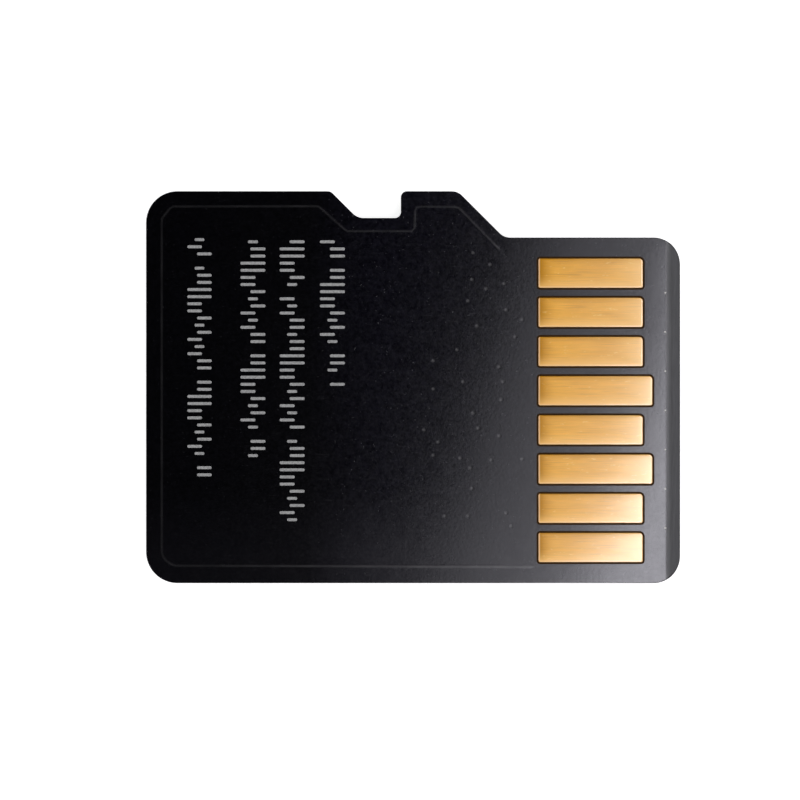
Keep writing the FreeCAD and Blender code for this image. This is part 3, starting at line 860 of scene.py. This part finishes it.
def build_contact(node, gold):
    """One contact: a softly edged plate with painted shade at its rear end and notch side, painted
    highlights towards the plain side and the front, and painted highlights along its rims.
    """
    low, high = (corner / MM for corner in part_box(node))
    top = high.z - TRACE_HEIGHT
    bottom = low.z - TRACE_HEIGHT

    def height(x, y):
        edges = (x - low.x, high.x - x, y - low.y, high.y - y)
        return top - CONTACT_ROLL_DROP * sum(roll(edge, CONTACT_ROLL) for edge in edges)

    # painted shade: how far the rear end and the notch side are darkened
    def painted_shade(x, y):
        by_notch = SHADE_NOTCH_SHARE * roll(high.y - y, SHADE_NOTCH_WIDTH)
        return max(roll(x - low.x, SHADE_REAR_WIDTH), by_notch)

    # painted highlight: how far the plain side and the front are lightened
    def painted_highlight(x, y):
        by_plain = HIGHLIGHT_PLAIN_SHARE * roll(y - low.y, HIGHLIGHT_PLAIN_WIDTH)
        by_front = HIGHLIGHT_FRONT_SHARE * roll(high.x - x, HIGHLIGHT_FRONT_WIDTH)
        return max(by_plain, by_front)

    # painted highlight: a pale band along the rear, plain and front edges
    def rim(x, y):
        by_plain = RIM_HIGHLIGHT_PLAIN_SHARE * rim_highlight_share(y - low.y)
        by_front = RIM_HIGHLIGHT_FRONT_SHARE * rim_highlight_share(high.x - x)
        return max(rim_highlight_share(x - low.x), by_plain, by_front)

    bm = bmesh.new()
    outline = contact_loop(node, 0)
    base = add_ring(bm, outline, lambda x, y: bottom)
    face = round_edge(
        bm, base, outline, CONTACT_EDGE_WIDTH, CONTACT_EDGE_DROP, CONTACT_EDGE_STEPS, height,
    )
    keep = inset(outline, GUIDE_MARGIN)
    columns = stations(low.x, high.x, CONTACT_LONG_STEPS)
    rows = stations(low.y, high.y, CONTACT_CROSS_STEPS)
    places = [Vector((x, y)) for x in columns for y in rows]
    guides = [place for place in places if inside(place, keep)]
    fill_cap(bm, face, [], guides, height, lambda point: 0)
    fill_cap(bm, (outline, base), [], [], height, lambda point: 0)
    piece = finish_mesh(f"gold_{node}", bm, [gold])
    store_share(piece, "painted_shade", painted_shade)
    store_share(piece, "painted_highlight", painted_highlight)
    store_share(piece, "rim", rim)
    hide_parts(node)


# Cut plating lines and plain marks on the contact face


def build_stubs(material):
    """Small bright domes at the top of the bevel, one midway between each pair of contacts."""
    bm = bmesh.new()
    middles = sorted(sum(corner.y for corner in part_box(node)) / 2 / MM for node in CONTACT_NODES)
    turns = [2 * math.pi * i / STUB_POINTS for i in range(STUB_POINTS)]
    for a, b in zip(middles, middles[1:]):
        middle = (a + b) / 2
        ring = None
        for share in STUB_RINGS:
            reach = STUB_RADIUS * share
            loop = [Vector((STUB_X + reach * math.cos(t), middle + reach * math.sin(t))) for t in turns]
            rise = STUB_HEIGHT * (1 - share**2) - STUB_SUNK
            above = add_ring(bm, loop, lambda x, y: plain_face(x, y) + rise)
            if ring:
                join_rings(bm, ring, above)
            else:
                bm.faces.new(above[::-1])
            ring = above
        bm.faces.new(ring)
    finish_mesh("plating_stubs", bm, [material])


def build_bars(material):
    """Four columns of short bars of four lengths, in groups, with no lettering."""
    bm = bmesh.new()
    number = BAR_FIRST_NUMBER
    half = BAR_WIDTH / 2
    for rear, front, first, last in BAR_COLUMNS:
        middle = (rear + front) / 2
        fifth = (front - rear) / 5
        spans = (
            (rear, front),
            (rear, middle + fifth / 2),
            (middle - fifth / 2, front),
            (middle - fifth, middle + fifth),
        )
        count = int((first - last) / BAR_PITCH)
        for i in range(count):
            number = (number * BAR_FACTOR + BAR_ADDED) % BAR_MODULUS
            if i % (BARS_IN_GROUP + 1) == BARS_IN_GROUP and number % BAR_GAP_MODULUS == 0:
                continue
            a, b = spans[number % len(spans)]
            y = first - BAR_PITCH * i
            loop = rounded_loop([
                (a, y - half, BAR_END_RADIUS),
                (b, y - half, BAR_END_RADIUS),
                (b, y + half, BAR_END_RADIUS),
                (a, y + half, BAR_END_RADIUS),
            ])
            low = add_ring(bm, loop, lambda x, y: FACE_Z - BAR_HEIGHT)
            high = add_ring(bm, loop, lambda x, y: FACE_Z + BAR_HEIGHT)
            join_rings(bm, low, high)
            bm.faces.new(high)
            bm.faces.new(low[::-1])
    finish_mesh("marking_bars", bm, [material])


# Floor, light and camera


def build_floor():
    """Pale floor, white from above, that takes the card's shadow and is clear from below."""
    bpy.ops.mesh.primitive_plane_add(size=FLOOR_SIZE * MM, location=(0, 0, -FLOOR_GAP * MM))
    floor = bpy.context.object
    floor.name = "floor"
    n = material_nodes("pale_floor")
    path = n.add("ShaderNodeLightPath", {}).outputs
    seen = n.combine("MAXIMUM", path["Is Camera Ray"], path["Is Glossy Ray"])
    seen = n.combine("MAXIMUM", seen, path["Is Transmission Ray"])
    diffuse = n.add("ShaderNodeBsdfDiffuse", {"Color": FLOOR_COLOUR})
    glow = n.add("ShaderNodeEmission", {"Strength": n.combine("MULTIPLY", seen, FLOOR_GLOW)})
    both = n.add("ShaderNodeAddShader", {0: diffuse.outputs["BSDF"], 1: glow.outputs["Emission"]})
    below = n.add("ShaderNodeNewGeometry", {}).outputs["Backfacing"]
    clear = n.add("ShaderNodeBsdfTransparent", {})
    mixed = n.add("ShaderNodeMixShader", {0: below, 1: both.outputs["Shader"], 2: clear.outputs["BSDF"]})
    floor.data.materials.append(n.surface(mixed.outputs["Shader"]))


def build_world():
    """White tent with a dark opening overhead, round the camera."""
    n = Nodes(bpy.data.worlds.new("tent"), "ShaderNodeOutputWorld")
    up = n.axes(n.add("ShaderNodeTexCoord", {}).outputs["Generated"])["Z"]
    tent = n.spread(up, TENT_OPENING, (TENT_LEVEL, 0.0), interpolation_type="SMOOTHSTEP")
    seen = n.add("ShaderNodeLightPath", {}).outputs["Is Camera Ray"]
    level = n.combine("MAXIMUM", tent, seen)
    white = n.add("ShaderNodeBackground", {"Color": WHITE, "Strength": level})
    bpy.context.scene.world = n.surface(white.outputs["Background"])


def add_softbox(name, place, size, radiance):
    """Rectangular lamp of a given brightness, aimed at the card; sizes in millimetres."""
    lamp = bpy.data.lights.new(name, "AREA")
    lamp.shape = "RECTANGLE"
    lamp.size = size[0] * MM
    lamp.size_y = size[1] * MM
    lamp.energy = radiance * LAMP_AREA_FACTOR * lamp.size * lamp.size_y
    holder = bpy.data.objects.new(name, lamp)
    holder.location = Vector(place) * MM
    holder.rotation_euler = (-Vector(place)).to_track_quat("-Z", "Y").to_euler()
    holder.visible_camera = False
    bpy.context.scene.collection.objects.link(holder)


def build_camera():
    """Long lens straight above the card, framed as the photograph is."""
    lens = bpy.data.cameras.new("camera")
    lens.lens = LENS
    lens.sensor_width = SENSOR
    lens.clip_start = CLIP_START * MM
    holder = bpy.data.objects.new("camera", lens)
    height = SUBSTRATE_HIGH.z / MM + PHOTO_WIDTH * LENS / SENSOR
    holder.location = Vector((*PHOTO_CENTRE, height)) * MM
    bpy.context.scene.collection.objects.link(holder)
    bpy.context.scene.camera = holder


gold = gold_material()
build_contact_face([
    solder_mask_material(),
    laminate_edge_material(),
    window_floor_material(),
    bevel_material(),
])
for contact in CONTACT_NODES:
    build_contact(contact, gold)
build_stubs(stub_material())
build_bars(bar_material())

# CAD pieces that keep their own shape, by material slot
finishes = {
    "mould_compound": moulding_material(),
    "silicon": inner_material(
        "silicon", (0.10, 0.105, 0.12), (0.15, 0.155, 0.17), metallic=0.4, roughness=0.17, size=0.6,
    ),
    "die_attach_film": inner_material(
        "die_attach_film", (0.30, 0.27, 0.20), (0.38, 0.34, 0.26), metallic=0.0, roughness=0.6, size=0.3,
    ),
    "chip_capacitor": inner_material(
        "chip_capacitor", (0.22, 0.15, 0.09), (0.32, 0.23, 0.15), metallic=0.0, roughness=0.52, size=0.08,
    ),
    "bond_wire": inner_material(
        "bond_wire", (0.80, 0.52, 0.18), (0.92, 0.64, 0.26), metallic=1.0, roughness=0.27, size=0.05,
    ),
}
for part in frame["record"]["subparts"]:
    if part["material_slot"] in finishes:
        mesh = frame["nodes"][part["node"]].data
        mesh.materials.clear()
        mesh.materials.append(finishes[part["material_slot"]])

build_floor()
build_world()
add_softbox("strip_light", STRIP_PLACE, STRIP_SIZE, STRIP_RADIANCE)
add_softbox("panel_light", PANEL_PLACE, PANEL_SIZE, PANEL_RADIANCE)
build_camera()
bpy.context.scene.view_settings.view_transform = "Standard"
